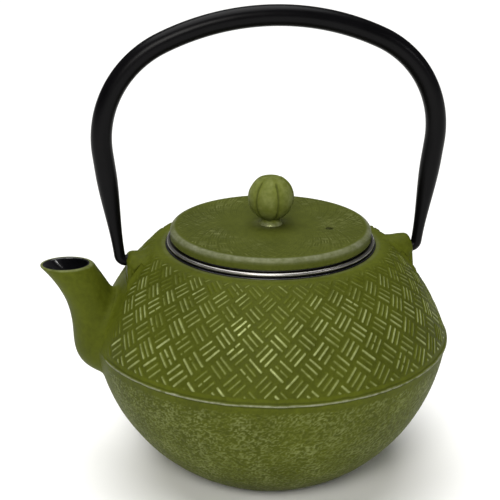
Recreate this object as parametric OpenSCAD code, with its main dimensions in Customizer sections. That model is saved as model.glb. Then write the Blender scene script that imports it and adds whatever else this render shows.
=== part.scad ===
// Cast iron teapot with an enamelled inside, a lift-off lid, a steel tea infuser
// and a tubular bail that swings over the pot on two cast ears.
// Origin: centre of the flat base. +Z up, spout towards -X, bail axis along X. Millimetres.

/* [Body] */
// Radius of the bowl at its widest
bowl_r = 79; // [76:0.5:82]
// Height of the bowl curve's centre above the base
bowl_centre_z = 72; // [71:0.5:73]
// Vertical half-height of the bowl curve
bowl_half_h = 80.2; // [79:0.1:81]
// Height of the casting seam round the belly
seam_z = 63.2; // [62:0.1:64]
// How far the seam stands proud
seam_proud = 0.8; // [0.4:0.1:1.2]
// Thickness of the iron
wall = 3.4; // [3:0.1:4]
// Thickness of the vitreous enamel
enamel_t = 0.4; // [0.3:0.1:0.5]

/* [Shoulder and mouth] */
// Radius of the shoulder's long curve
shoulder_arc_r = 98.9; // [97:0.1:101]
// Distance of the shoulder curve's centre beyond the pot's axis
shoulder_offset = 15.2; // [14:0.1:16]
// Radius of the tight curve between shoulder and mouth
brow_r = 6.2; // [5:0.1:7]
// Outer radius of the enamelled lip
lip_r = 46.2; // [45.6:0.1:47]
// Radius of the mouth through the iron
mouth_r = 43; // [42.5:0.1:43.4]
// Thickness of the iron round the mouth
mouth_t = 4.5; // [4:0.1:5]

/* [Spout] */
// Height of the level spout mouth
spout_mouth_z = 98.9; // [97:0.1:100]
// Half-width of the spout across the pot, at its mouth
spout_tip_half = 9.5; // [9:0.1:10]
// Half-width of the spout across the pot, at its root
spout_root_half = 19.5; // [18:0.1:20]
// Thickness of the spout's iron
spout_wall = 2; // [1.6:0.1:2.4]

/* [Ears and bail] */
// Height of the bail's axis
ear_z = 99.1; // [98:0.1:100]
// Distance of each ear's outer face from the pot's axis
ear_x = 63.5; // [63:0.1:64]
// Radius of each ear round its bore
ear_r = 6.1; // [5.8:0.1:6.4]
// Radius of the bail's pivot pins
pin_r = 2.4; // [2.2:0.1:2.5]
// Radial clearance of a pin in its ear
pin_clearance = 0.08; // [0.04:0.01:0.1]
// Height of the bail's centreline above its axis
bail_h = 104.9; // [104:0.1:108]
// Radius of the bail's long top curve
bail_top_r = 109.4; // [106:0.1:112]
// Half-angle of the bail's top curve
bail_top_angle = 25.4; // [24:0.1:26]
// Radius of the bail's shoulder curves
bail_bend_r = 44.8; // [44:0.1:46]
// Lean of each straight limb, inwards to the ear
bail_lean = 7.3; // [7:0.1:7.6]
// Radius of the bail's tube
tube_r = 4.5; // [4.2:0.1:4.8]
// Thickness of the bail's tube
tube_t = 1; // [0.8:0.1:1.2]

/* [Lid and knob] */
// Radius of the lid
lid_r = 44; // [43.6:0.1:44.4]
// Height of the lid's iron underside at its edge
lid_z = 107.3; // [107.2:0.1:107.6]
// Height of the lid's top surface at the start of its worn bevel
lid_top_z = 112.3; // [112:0.1:112.8]
// Radius of the steam vent
vent_r = 1.1; // [0.8:0.1:1.4]
// Distance of the steam vent from the centre
vent_at = 26; // [24:0.5:28]
// Direction of the steam vent
vent_angle = -22; // [-40:1:40]
// Radius of the ribbed knob
knob_r = 10.1; // [9.6:0.1:10.5]
// Number of ribs round the knob
knob_ribs = 6; // [5:1:10]
// Turn of the knob's grooves about the pot's axis
knob_turn = 40; // [0:1:60]

/* [Infuser] */
// Radius of the rim's rolled bead, to the bead's centre
bead_at = 44.65; // [44.4:0.05:44.8]
// Radius of the wire-thick bead itself
bead_r = 0.85; // [0.7:0.05:0.9]
// Height of the underside of the basket
basket_z = 48; // [46:0.5:56]
// Outer radius of the mesh wall at its top
basket_top_r = 41.35; // [41.2:0.05:41.35]
// Outer radius of the mesh wall at its foot
basket_foot_r = 38.9; // [38:0.1:39.2]
// Thickness of the woven mesh
mesh_t = 0.6; // [0.5:0.1:0.7]

/* [Hidden] */

green = "#5a6426";
black_enamel = "#121214";
black_satin = "#1b1a1c";
steel = "#b9b6b2";

round_fn = 96;
eps = 0.05;          // hair gap between pieces that only meet
past = 1;            // how far a cutter runs past the face it cuts
arc_step = 4;        // longest step along an arc, in degrees
seam_h = 0.8;        // height of the seam's own ridge
seam_gap = 0.6;      // turn left free on each side of the seam, in degrees

// ---- outlines shared by the iron and the enamel ----
mouth_z = 104.3;
floor_t = 4;
base_angle = asin(bowl_centre_z / bowl_half_h);
seam_angle = asin((bowl_centre_z - seam_z) / bowl_half_h);
seam_r = bowl_r * cos(seam_angle);
shoulder_centre_z = seam_z - sqrt(pow(shoulder_arc_r, 2) - pow(seam_r + shoulder_offset, 2));
shoulder_start = asin((seam_z - shoulder_centre_z) / shoulder_arc_r);
brow_centre_z = mouth_z - brow_r;
brow_angle = asin((brow_centre_z - shoulder_centre_z) / (shoulder_arc_r - brow_r));
brow_centre_x = (shoulder_arc_r - brow_r) * cos(brow_angle) - shoulder_offset;

// Points along an elliptical arc about [cx, cz], from angle a0 to a1
function arc(cx, cz, rx, rz, a0, a1) =
    let (n = ceil(abs(a1 - a0) / arc_step))
    [for (i = [0:n]) let (a = a0 + (a1 - a0) * i / n) [cx + rx * cos(a), cz + rz * sin(a)]];

module pot_outline() {
    ridge_r = seam_r + seam_proud;
    polygon(concat(
        [[0, 0]],
        arc(0, bowl_centre_z, bowl_r, bowl_half_h, -base_angle, -seam_angle - seam_gap),
        [[ridge_r, seam_z - seam_h / 2], [ridge_r, seam_z + seam_h / 2]],
        arc(-shoulder_offset, shoulder_centre_z, shoulder_arc_r, shoulder_arc_r,
            shoulder_start + seam_gap, brow_angle),
        arc(brow_centre_x, brow_centre_z, brow_r, brow_r, brow_angle + arc_step, 90),
        [[0, mouth_z]]
    ));
}

// The hollow of the pot, `skin` in from the bare iron's own inner surface, up to height `top`
module hollow_outline(skin, top) {
    w = wall + skin;
    floor_z = floor_t + skin;
    floor_angle = asin((bowl_centre_z - floor_z) / (bowl_half_h - w));
    roof_z = mouth_z - mouth_t - skin;
    roof_angle = asin((roof_z - shoulder_centre_z) / (shoulder_arc_r - w));
    polygon(concat(
        [[0, floor_z]],
        arc(0, bowl_centre_z, bowl_r - w, bowl_half_h - w, -floor_angle, -seam_angle),
        arc(-shoulder_offset, shoulder_centre_z, shoulder_arc_r - w, shoulder_arc_r - w,
            shoulder_start + seam_gap, roof_angle),
        [[mouth_r - skin, roof_z], [mouth_r - skin, top], [0, top]]
    ));
}

// ---- spout: oval sections between an under curve and an over curve, both in the XZ plane ----
spout_under = [[-58, 44], [-108.5, 52.5], [-71.5, 68], [-101, spout_mouth_z]];
spout_over = [[-48, 66], [-59.5, 65], [-73, 92.5], [-77.8, spout_mouth_z]];
spout_ease = 1.3;
spout_sides = 24;
spout_steps = 14;

// Point at t of the curve with control points p
function bezier(p, t) =
    pow(1 - t, 3) * p[0] + 3 * pow(1 - t, 2) * t * p[1]
    + 3 * (1 - t) * t * t * p[2] + pow(t, 3) * p[3];

// One section of the spout at t, `inset` in from its outside and `lift` above its place
function spout_ring(t, inset, lift = 0) =
    let (u = bezier(spout_under, t), o = bezier(spout_over, t), c = (u + o) / 2, half = (u - o) / 2,
        long = half * (1 - inset / norm(half)),
        wide = spout_tip_half + (spout_root_half - spout_tip_half) * pow(1 - t, spout_ease) - inset)
    [for (k = [0:spout_sides - 1]) let (a = 360 * k / spout_sides)
        [c[0] + long[0] * cos(a), wide * sin(a), c[1] + long[1] * cos(a) + lift]];

// A closed solid through a list of rings with equal point counts
module loft(rings) {
    n = len(rings[0]);
    m = len(rings);
    polyhedron(
        points = [for (ring = rings) each ring],
        faces = concat(
            [[for (k = [n - 1:-1:0]) k]],
            [for (i = [0:m - 2], k = [0:n - 1]) let (j = (k + 1) % n)
                [i * n + k, (i + 1) * n + j, (i + 1) * n + k]],
            [for (i = [0:m - 2], k = [0:n - 1]) let (j = (k + 1) % n)
                [i * n + k, i * n + j, (i + 1) * n + j]],
            [[for (k = [0:n - 1]) (m - 1) * n + k]]
        )
    );
}

function spout_rings(inset) = [for (i = [0:spout_steps]) spout_ring(i / spout_steps, inset)];

module spout_solid(inset, above_mouth = 0) {
    above = above_mouth > 0 ? [spout_ring(1, inset, above_mouth)] : [];
    loft(concat(spout_rings(inset), above));
}

// ---- ears ----
bore_r = pin_r + pin_clearance;
pin_end_x = 57.2;
bore_end_x = 56.9;

module ear() {
    ear_in = 47;
    ear_foot_z = 88;
    ear_foot_half = 9.5;
    ear_corner = 3.2;
    ear_level = 8.3;
    ear_level_drop = 1.2;
    ear_in_drop = 5;
    ear_top = ear_z + ear_r;
    corner_x = ear_x - ear_corner;
    intersection() {
        translate([ear_in, 0, 0])
            rotate([90, 0, 90])
                linear_extrude(ear_x - ear_in)
                    union() {
                        translate([0, ear_z]) circle(r = ear_r, $fn = 64);
                        polygon([[-ear_foot_half, ear_foot_z], [ear_foot_half, ear_foot_z],
                            [ear_r, ear_z], [-ear_r, ear_z]]);
                    }
        translate([0, ear_foot_half + past, 0])
            rotate([90, 0, 0])
                linear_extrude(2 * (ear_foot_half + past))
                    polygon(concat(
                        [[ear_in, ear_foot_z], [ear_x, ear_foot_z]],
                        arc(corner_x, ear_top - ear_corner, ear_corner, ear_corner, 0, 84),
                        [[corner_x - ear_level, ear_top - ear_level_drop], [ear_in, ear_top - ear_in_drop]]
                    ));
    }
}

module ear_bore() {
    translate([bore_end_x, 0, ear_z])
        rotate([0, 90, 0])
            cylinder(r = bore_r, h = ear_x - bore_end_x + past, $fn = 64);
}

module both_sides() {
    children();
    mirror([1, 0, 0]) children();
}

module pot_body() {
    color(green)
        difference() {
            union() {
                rotate_extrude($fn = round_fn) pot_outline();
                spout_solid(0);
                both_sides() ear();
            }
            rotate_extrude($fn = round_fn) hollow_outline(0, mouth_z + past);
            spout_solid(spout_wall, past);
            both_sides() ear_bore();
        }
}

module enamel_lining() {
    color(black_enamel)
        difference() {
            union() {
                rotate_extrude($fn = round_fn) hollow_outline(0, mouth_z);
                translate([0, 0, mouth_z]) cylinder(r = lip_r, h = enamel_t, $fn = round_fn);
                spout_solid(spout_wall);
            }
            rotate_extrude($fn = round_fn) hollow_outline(enamel_t, mouth_z + past);
            spout_solid(spout_wall + enamel_t, past);
        }
}

// ---- lid ----
flange_r = 39.6;
flange_in_r = 37;
flange_z = 100;
lid_under_z = 108.6;
lid_crown = 0.5;
bevel = 2;
bevel_start = 78;
lid_edge = 0.4;
screw_hole_r = 2.2;

module lid_holes() {
    cylinder(r = screw_hole_r, h = lid_top_z + lid_crown + past, $fn = 48);
    rotate([0, 0, vent_angle])
        translate([vent_at, 0, flange_z])
            cylinder(r = vent_r, h = lid_top_z, $fn = 32);
}

module lid() {
    crown_n = 6;
    top_r = lid_r - bevel;
    crown = [for (i = [0:crown_n]) let (r = top_r * i / crown_n)
        [r, lid_top_z + lid_crown * (1 - pow(i / crown_n, 2))]];
    side_z = lid_top_z - bevel;
    color(green)
        difference() {
            rotate_extrude($fn = round_fn)
                polygon(concat(
                    [[0, lid_under_z]],
                    crown,
                    arc(top_r, side_z, bevel, bevel, bevel_start, 0),
                    [[lid_r, lid_z + lid_edge], [lid_r - lid_edge, lid_z], [flange_r, lid_z],
                        [flange_r, flange_z], [flange_in_r, flange_z], [flange_in_r, lid_under_z]]
                ));
            lid_holes();
        }
}

module lid_enamel() {
    edge_r = lid_r - 1.5 * lid_edge;
    color(black_enamel)
        difference() {
            rotate_extrude($fn = round_fn)
                polygon([[edge_r, lid_z], [flange_r, lid_z], [flange_r, flange_z], [flange_in_r, flange_z],
                    [flange_in_r, lid_under_z], [0, lid_under_z], [0, lid_under_z - enamel_t],
                    [flange_in_r - enamel_t, lid_under_z - enamel_t],
                    [flange_in_r - enamel_t, flange_z - enamel_t],
                    [flange_r + enamel_t, flange_z - enamel_t], [flange_r + enamel_t, lid_z - enamel_t],
                    [edge_r, lid_z - enamel_t]]);
            lid_holes();
        }
}

// ---- knob ----
knob_foot_z = lid_top_z + lid_crown + eps;
knob_z = 124.9;
knob_cap_r = 5;
screw_r = 2;
screw_top_z = 121.5;
tap_runout = 0.5;
groove_r = 0.5;
groove_sweep = 100;

module knob() {
    neck_r = 3.9;
    neck_z = knob_foot_z + 1.8;
    neck_top_z = knob_z - knob_r + 2;
    foot_r = 5.2;
    foot_h = 0.7;
    foot_draft = 0.5;
    cap_rise = 0.5;
    cap_z = knob_z + sqrt(pow(knob_r, 2) - pow(knob_cap_r, 2)) + cap_rise;
    color(green)
        difference() {
            union() {
                intersection() {
                    translate([0, 0, knob_z]) sphere(r = knob_r, $fn = round_fn);
                    cylinder(r = knob_r + past, h = cap_z, $fn = round_fn);
                }
                rotate_extrude($fn = 64)
                    polygon([[0, knob_foot_z], [foot_r, knob_foot_z],
                        [foot_r - foot_draft, knob_foot_z + foot_h], [neck_r, neck_z],
                        [neck_r, neck_top_z], [0, neck_top_z]]);
            }
            translate([0, 0, knob_foot_z - past])
                cylinder(r = screw_r + eps, h = screw_top_z + tap_runout - knob_foot_z + past, $fn = 48);
            for (i = [0:knob_ribs - 1])
                rotate([0, 0, knob_turn + 360 * i / knob_ribs])
                    translate([0, 0, knob_z])
                        rotate([90, 0, 0])
                            rotate([0, 0, -groove_sweep / 2])
                                rotate_extrude(angle = groove_sweep, $fn = round_fn)
                                    translate([knob_r, 0]) circle(r = groove_r, $fn = 16);
        }
}

washer_t = 0.8;
washer_r = 5;
washer_z = lid_under_z - enamel_t - washer_t;

module knob_washer() {
    color(steel)
        translate([0, 0, washer_z])
            difference() {
                cylinder(r = washer_r, h = washer_t, $fn = 48);
                translate([0, 0, -past]) cylinder(r = screw_hole_r, h = washer_t + 2 * past, $fn = 48);
            }
}

module knob_screw() {
    head_r = 3.8;
    head_h = 2.4;
    slot_l = 5;
    slot_w = 0.9;
    slot_h = 1.2;
    head_edge = 0.8;
    color(steel)
        difference() {
            union() {
                translate([0, 0, washer_z - head_h])
                    rotate_extrude($fn = 48)
                        polygon([[0, 0], [head_r - head_edge, 0], [head_r, head_edge],
                            [head_r, head_h], [0, head_h]]);
                translate([0, 0, washer_z - eps])
                    cylinder(r = screw_r, h = screw_top_z - washer_z, $fn = 48);
            }
            for (a = [0, 90])
                rotate([0, 0, a])
                    translate([-slot_l / 2, -slot_w / 2, washer_z - head_h - past])
                        cube([slot_l, slot_w, slot_h + past]);
        }
}

// ---- infuser ----
bead_gap = 0.25;
bead_z = mouth_z + enamel_t + bead_gap + bead_r;
collar_r = 41.9;
sheet_t = 0.5;
collar_foot_z = 99.5;
wall_top_z = 104.5;
ring_h = 4.5;

module infuser_rim() {
    color(steel)
        rotate_extrude($fn = round_fn) {
            translate([bead_at, bead_z]) circle(r = bead_r, $fn = 24);
            translate([collar_r - sheet_t, bead_z - sheet_t / 2])
                square([bead_at - collar_r + sheet_t, sheet_t]);
            translate([collar_r - sheet_t, collar_foot_z]) square([sheet_t, bead_z - collar_foot_z]);
        }
}

module infuser_wall() {
    foot_z = basket_z + sheet_t + mesh_t + 2 * eps;
    color(steel)
        rotate_extrude($fn = round_fn)
            polygon([[basket_top_r, wall_top_z], [basket_foot_r, foot_z],
                [basket_foot_r - mesh_t, foot_z], [basket_top_r - mesh_t, wall_top_z]]);
}

module infuser_floor() {
    color(steel)
        translate([0, 0, basket_z + sheet_t + eps])
            cylinder(r = basket_foot_r, h = mesh_t, $fn = round_fn);
}

module infuser_base_ring() {
    ring_in = basket_foot_r + 5 * eps;
    ledge = 3;
    color(steel)
        translate([0, 0, basket_z])
            rotate_extrude($fn = round_fn) {
                translate([ring_in, 0]) square([sheet_t, ring_h]);
                translate([ring_in - ledge, 0]) square([ledge + eps, sheet_t]);
            }
}

// ---- bail: one swept tube in the XZ plane, with its heights counted from its own axis ----
elbow_r = 2.8;
elbow_step = 15;
sweep_step = 6;
taper_foot = 10;
taper_top = 38;
taper_steps = 4;
neck_in_pin = 2.5;
pin_overlap = 0.1;
pin_join = 0.3;
outer_sides = 16;
inner_sides = 12;
bail_end_angle = 90 - bail_top_angle;
bend_centre = [(bail_top_r - bail_bend_r) * cos(bail_end_angle),
    bail_h - bail_top_r + (bail_top_r - bail_bend_r) * sin(bail_end_angle)];
limb_top = bend_centre + bail_bend_r * [cos(bail_lean), -sin(bail_lean)];
limb_foot_x = limb_top[0] - limb_top[1] * tan(bail_lean);
elbow_x = limb_foot_x - elbow_r * (1 - sin(bail_lean)) / cos(bail_lean);

// A ring of the tube: centre p, facing square to the direction at angle a, radius r
function tube_ring(p, a, r, sides) =
    [for (k = [0:sides - 1]) let (t = 360 * k / sides)
        [p[0] + r * cos(t) * cos(a), -r * sin(t), p[1] + r * cos(t) * sin(a)]];

// Rings along an arc of the tube's centreline, from angle a0 to a1
function tube_arc(centre, bend, a0, a1, step, r, sides) =
    let (n = ceil((a1 - a0) / step))
    [for (i = [0:n]) let (a = a0 + (a1 - a0) * i / n)
        tube_ring(centre + bend * [cos(a), sin(a)], a, r, sides)];

// Rings along one straight limb, swelling from radius r0 to r1
function tube_limb(r0, r1, sides) =
    [for (i = [0:taper_steps]) let (f = i / taper_steps, w = taper_foot + (taper_top - taper_foot) * f)
        tube_ring([limb_foot_x + w * tan(bail_lean), w], -bail_lean, r0 + (r1 - r0) * f, sides)];

// Half of the bail, from the pin to the crown: radius r0 at the swaged end, r1 over the arch
function half_bail(r0, r1, sides) = concat(
    [tube_ring([elbow_x - neck_in_pin, 0], -90, r0, sides)],
    tube_arc([elbow_x, elbow_r], elbow_r, -90, -bail_lean, elbow_step, r0, sides),
    tube_limb(r0, r1, sides),
    tube_arc(bend_centre, bail_bend_r, -bail_lean, bail_end_angle, sweep_step, r1, sides),
    tube_arc([0, bail_h - bail_top_r], bail_top_r, bail_end_angle + sweep_step, 90, sweep_step, r1, sides)
);

function mirrored(ring) = [for (p = ring) [-p[0], p[1], p[2]]];

module bail_tube(r0, r1, sides) {
    half = half_bail(r0, r1, sides);
    last = len(half) - 1;
    loft(concat(half, [for (i = [last - 1:-1:0]) mirrored(half[i])]));
}

module pin_run(r, from_x) {
    both_sides()
        translate([from_x, 0, 0])
            rotate([0, 90, 0])
                cylinder(r = r, h = elbow_x + pin_join - from_x, $fn = 48);
}

module handle_bail() {
    swaged_bore_r = 1.3;
    color(black_satin)
        translate([0, 0, ear_z])
            difference() {
                union() {
                    bail_tube(pin_r - pin_overlap, tube_r, outer_sides);
                    pin_run(pin_r, pin_end_x);
                }
                bail_tube(swaged_bore_r - pin_overlap, tube_r - tube_t, inner_sides);
                pin_run(swaged_bore_r, pin_end_x - past);
            }
}

pot_body();
enamel_lining();
lid();
lid_enamel();
knob();
knob_screw();
knob_washer();
infuser_rim();
infuser_wall();
infuser_floor();
infuser_base_ring();
handle_bail();
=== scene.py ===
"""A cast iron teapot: moss green paint rubbed back on a basket-weave casting, a black tubular bail,
a black enamelled inside and a woven steel infuser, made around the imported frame.

Sizes in capitals are millimetres in the frame's own axes: +Z up, spout towards -X, bail axis along X.
"""
import itertools
import math

import bpy
import numpy as np
from mathutils import Matrix, Vector


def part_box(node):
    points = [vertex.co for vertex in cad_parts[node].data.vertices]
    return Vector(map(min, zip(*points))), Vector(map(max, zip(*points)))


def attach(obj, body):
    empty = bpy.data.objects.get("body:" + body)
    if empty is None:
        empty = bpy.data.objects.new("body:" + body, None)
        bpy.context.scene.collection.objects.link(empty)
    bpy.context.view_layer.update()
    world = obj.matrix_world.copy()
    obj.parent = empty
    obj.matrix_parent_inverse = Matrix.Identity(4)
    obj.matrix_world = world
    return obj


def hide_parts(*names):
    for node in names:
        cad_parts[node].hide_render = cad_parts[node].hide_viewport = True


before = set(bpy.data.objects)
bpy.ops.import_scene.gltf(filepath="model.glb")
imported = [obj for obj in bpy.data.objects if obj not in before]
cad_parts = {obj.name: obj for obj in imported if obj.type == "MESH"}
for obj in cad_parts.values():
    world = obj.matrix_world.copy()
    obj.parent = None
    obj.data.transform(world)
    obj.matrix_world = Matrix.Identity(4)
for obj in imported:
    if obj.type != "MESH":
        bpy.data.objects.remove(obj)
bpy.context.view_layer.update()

MM = 0.001


def top_of(node):
    """Height of a CAD node's highest point, in millimetres."""
    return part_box(node)[1].z / MM


def foot_of(node):
    """Height of a CAD node's lowest point, in millimetres."""
    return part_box(node)[0].z / MM


def reach_of(node):
    """How far a CAD node reaches along +X, in millimetres."""
    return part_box(node)[1].x / MM


# ---- the casting's outline, as designed
ENAMEL = 0.4
WALL = 3.4
FLOOR = 4.0
BOWL_R = 79.0
BOWL_HALF_H = 80.2
BOWL_Z = 72.0
SEAM_Z = 63.2
SEAM_PROUD = 0.75
SEAM_HALF_H = 0.5
SHOULDER_R = 98.9
SHOULDER_OFFSET = 15.2
BROW_R = 6.2
MOUTH_R = 43.0
MOUTH_T = 4.5
LIP_R = reach_of("infuser_rim") + 0.7
MOUTH_Z = top_of("enamel_lining") - ENAMEL

SEAM_R = BOWL_R * math.sqrt(1 - ((BOWL_Z - SEAM_Z) / BOWL_HALF_H) ** 2)
SHOULDER_Z = SEAM_Z - math.sqrt(SHOULDER_R**2 - (SEAM_R + SHOULDER_OFFSET) ** 2)
SHOULDER_START = math.asin((SEAM_Z - SHOULDER_Z) / SHOULDER_R)
BROW_Z = MOUTH_Z - BROW_R
BROW_ANGLE = math.asin((BROW_Z - SHOULDER_Z) / (SHOULDER_R - BROW_R))
BROW_X = (SHOULDER_R - BROW_R) * math.cos(BROW_ANGLE) - SHOULDER_OFFSET

# ---- spout and ears
SPOUT_MOUTH_Z = 98.9
SPOUT_UNDER = np.array([(-58, 44), (-108.5, 52.5), (-71.5, 68), (-101, SPOUT_MOUTH_Z)])
SPOUT_OVER = np.array([(-48, 66), (-59.5, 65), (-73, 92.5), (-77.8, SPOUT_MOUTH_Z)])
SPOUT_TIP_HALF = 9.5
SPOUT_ROOT_HALF = 19.5
SPOUT_EASE = 1.3
SPOUT_WALL = 2.0
SPOUT_CORNER = 4.5
EAR_Z = 99.1
EAR_X = 63.5
EAR_R = 6.1
EAR_FLARE = math.radians(17)
EAR_CORNER = 7.0
EAR_CREST = {1: 6.1, -1: 3.7}
EAR_LEVEL_X = 52.0
EAR_EDGE = 1.6
EAR_ROOT_X = 44.0
EAR_ROOT_DROP = 15.0
PIN_R = 2.4
BORE_R = PIN_R + 0.08
BORE_END = 56.9

# ---- the raised weave
# the first seven are counted in blocks, which are about 12 mm wide near the seam
WEAVE_ROUND = 38
WEAVE_U = 0.33
WEAVE_V = 0.60
WEAVE_PITCH_V = 1.02
STROKE_HALF_L = 0.262
STROKE_HALF_W = 0.066
STROKE_GAP = 0.215
STROKE_H = 0.45
WEAVE_TOP_R = 49.8
SPOUT_CLEAR = (4, 13)
BAIL_REST = (66.6, 22.8, 82.0)

# ---- the rest of the casting's relief
PEEL_H = 0.17
FOOT_RECESS = 0.5


# ---- mesh helpers
def eased(x, low, high):
    """0 at low, 1 at high, and smooth between."""
    t = np.clip((x - low) / (high - low), 0, 1)
    return t * t * (3 - 2 * t)


def scrambled(*numbers):
    """A fixed random number from 0 to 1 for each set of whole numbers, by an integer hash."""
    h = np.zeros_like(np.asarray(numbers[0]), dtype=np.int64) + 40503
    for k, n in enumerate(numbers):
        h = h * 31 + np.asarray(n).astype(np.int64) * (374761393 + 1000003 * k)
        h = (h ^ (h >> 13)) * 1274126177
    h = (h ^ (h >> 16)) & 0xFFFFFF
    return h / float(0x1000000)


def lumps(points, size, seed):
    """Smooth random values, about -1 to 1, in lumps of that size in millimetres."""
    p = points / size + 500.0
    cell = np.floor(p).astype(np.int64)
    f = p - cell
    ease = f**3 * (f * (f * 6 - 15) + 10)
    total = np.zeros(len(p))
    for corner in itertools.product((0, 1), repeat=3):
        at = cell + np.array(corner)
        turn = scrambled(at[:, 0], at[:, 1], at[:, 2], np.full(len(p), seed))
        rise = scrambled(at[:, 2], at[:, 0], at[:, 1], np.full(len(p), seed + 7)) * 2 - 1
        flat = np.sqrt(1 - rise**2)
        d = f - np.array(corner)
        slope = flat * np.cos(2 * np.pi * turn) * d[:, 0] + flat * np.sin(2 * np.pi * turn) * d[:, 1]
        weight = np.prod(np.where(np.array(corner) == 1, ease, 1 - ease), axis=1)
        total += weight * (slope + rise * d[:, 2])
    return total * 1.7


def worn_patches(points, broad, fine, seed):
    """How much handling reached each point, 0 to 1, in broad patches with finer ones on them."""
    return 0.5 + 0.5 * np.clip(lumps(points, broad, seed) + 0.5 * lumps(points, fine, seed + 1), -1, 1)


def skin(rings):
    """Faces over a stack of rings of points, lowest first and counter-clockwise seen from above.
    A ring of one point is a pole, and a ring may have twice or half the points of the next."""
    points = np.concatenate(rings)
    starts = np.cumsum([0] + [len(r) for r in rings])
    quads, tris = [np.empty((0, 4), int)], [np.empty((0, 3), int)]
    for a, b, low, high in zip(starts, starts[1:], rings, rings[1:]):
        na, nb = len(low), len(high)
        i = np.arange(max(na, nb) if min(na, nb) == 1 else min(na, nb))
        j = (i + 1) % len(i)
        if na == nb:
            quads.append(np.stack([a + i, a + j, b + j, b + i], 1))
        elif na == 1:
            tris.append(np.stack([np.full(nb, a), b + j, b + i], 1))
        elif nb == 1:
            tris.append(np.stack([a + i, a + j, np.full(na, b)], 1))
        elif na == 2 * nb:
            tris.append(np.stack([a + 2 * i, a + 2 * i + 1, b + i], 1))
            quads.append(np.stack([a + 2 * i + 1, a + (2 * i + 2) % na, b + j, b + i], 1))
        else:
            tris.append(np.stack([a + i, b + 2 * i + 1, b + 2 * i], 1))
            quads.append(np.stack([a + i, a + j, b + (2 * i + 2) % nb, b + 2 * i + 1], 1))
    return points, np.concatenate(quads), np.concatenate(tris)


def solid_from(name, points, quads, tris, sharp=38):
    """A mesh object from points in millimetres, smooth but for edges sharper than that angle."""
    mesh = bpy.data.meshes.new(name)
    corners = np.concatenate([quads.ravel(), tris.ravel()]).astype(np.int32)
    sizes = np.concatenate([np.full(len(quads), 4), np.full(len(tris), 3)])
    mesh.vertices.add(len(points))
    mesh.vertices.foreach_set("co", (points * MM).astype(np.float32).ravel())
    mesh.loops.add(len(corners))
    mesh.loops.foreach_set("vertex_index", corners)
    mesh.polygons.add(len(sizes))
    mesh.polygons.foreach_set("loop_start", (np.cumsum(sizes) - sizes).astype(np.int32))
    mesh.update(calc_edges=True)
    mesh.validate()
    piece = bpy.data.objects.new(name, mesh)
    bpy.context.scene.collection.objects.link(piece)
    soften(mesh, sharp)
    return piece


def soften(mesh, sharp):
    """Shades a mesh smooth, with an edge where its faces meet at more than that many degrees."""
    mesh.shade_smooth()
    mesh.set_sharp_from_angle(angle=math.radians(sharp))


def turned_ring(r, z, columns):
    """A level ring of points round the Z axis, or one point on it."""
    if r == 0:
        return np.array([(0.0, 0.0, z)])
    a = np.arange(columns) * 2 * np.pi / columns
    return np.stack([r * np.cos(a), r * np.sin(a), np.full(columns, z)], 1)


def turned(profile, columns):
    """A solid turned round the Z axis from (radius, height) points, lowest pole to highest pole."""
    return skin([turned_ring(r, z, columns) for r, z in profile])


def arc(cx, cz, rx, rz, first, last, steps):
    """Points along an elliptical arc from one angle to another, in radians."""
    a = np.linspace(first, last, steps + 1)
    return np.stack([cx + rx * np.cos(a), cz + rz * np.sin(a)], 1)


def line(start, end, steps):
    """Points from start to end, without the last."""
    t = np.arange(steps)[:, None] / steps
    return np.asarray(start) + (np.asarray(end, float) - np.asarray(start)) * t


def carve(piece, unions=(), cuts=(), sharp=38):
    """Joins solids to a piece and cuts others from it, then drops them."""
    for operation, tools in (("UNION", unions), ("DIFFERENCE", cuts)):
        for tool in tools:
            step = piece.modifiers.new(tool.name, "BOOLEAN")
            step.operation = operation
            step.solver = "MANIFOLD"
            step.object = tool
    graph = bpy.context.evaluated_depsgraph_get()
    whole = bpy.data.meshes.new_from_object(piece.evaluated_get(graph))
    before = piece.data
    piece.modifiers.clear()
    piece.data = whole
    whole.name = piece.name
    bpy.data.meshes.remove(before)
    for tool in (*unions, *cuts):
        bpy.data.meshes.remove(tool.data)
    soften(whole, sharp)
    return piece


def places(piece):
    """A piece's points, in millimetres."""
    co = np.empty(len(piece.data.vertices) * 3, np.float32)
    piece.data.vertices.foreach_get("co", co)
    return co.reshape(-1, 3).astype(float) / MM


def note(piece, **marks):
    """Stores named numbers at each point of a piece, for its material to read."""
    for name, values in marks.items():
        mark = piece.data.attributes.new(name, "FLOAT", "POINT")
        mark.data.foreach_set("value", np.asarray(values, np.float32))


# ---- distances and soft corners
def body_distance(p):
    """How far points lie outside the turned casting; negative inside."""
    r, z = np.hypot(p[:, 0], p[:, 1]), p[:, 2]
    bowl = (np.sqrt((r / BOWL_R) ** 2 + ((z - BOWL_Z) / BOWL_HALF_H) ** 2) - 1) * BOWL_R
    shoulder = np.hypot(r + SHOULDER_OFFSET, z - SHOULDER_Z) - SHOULDER_R
    brow = np.where(r > BROW_X, np.hypot(r - BROW_X, z - BROW_Z) - BROW_R, z - MOUTH_Z)
    over_brow = np.arctan2(z - SHOULDER_Z, r + SHOULDER_OFFSET) > BROW_ANGLE
    return np.where(z < SEAM_Z, bowl, np.where(over_brow, brow, shoulder))


def bezier(c, t):
    """Points at t along the cubic curve with control points c."""
    t = np.asarray(t, float)[..., None]
    return (1 - t) ** 3 * c[0] + 3 * (1 - t) ** 2 * t * c[1] + 3 * (1 - t) * t**2 * c[2] + t**3 * c[3]


def spout_section(t):
    """The spout's section at t: its centre and long half-axis in the XZ plane, and its half-width."""
    under, over = bezier(SPOUT_UNDER, t), bezier(SPOUT_OVER, t)
    wide = SPOUT_TIP_HALF + (SPOUT_ROOT_HALF - SPOUT_TIP_HALF) * (1 - np.asarray(t)) ** SPOUT_EASE
    return (under + over) / 2, (under - over) / 2, wide


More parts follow.
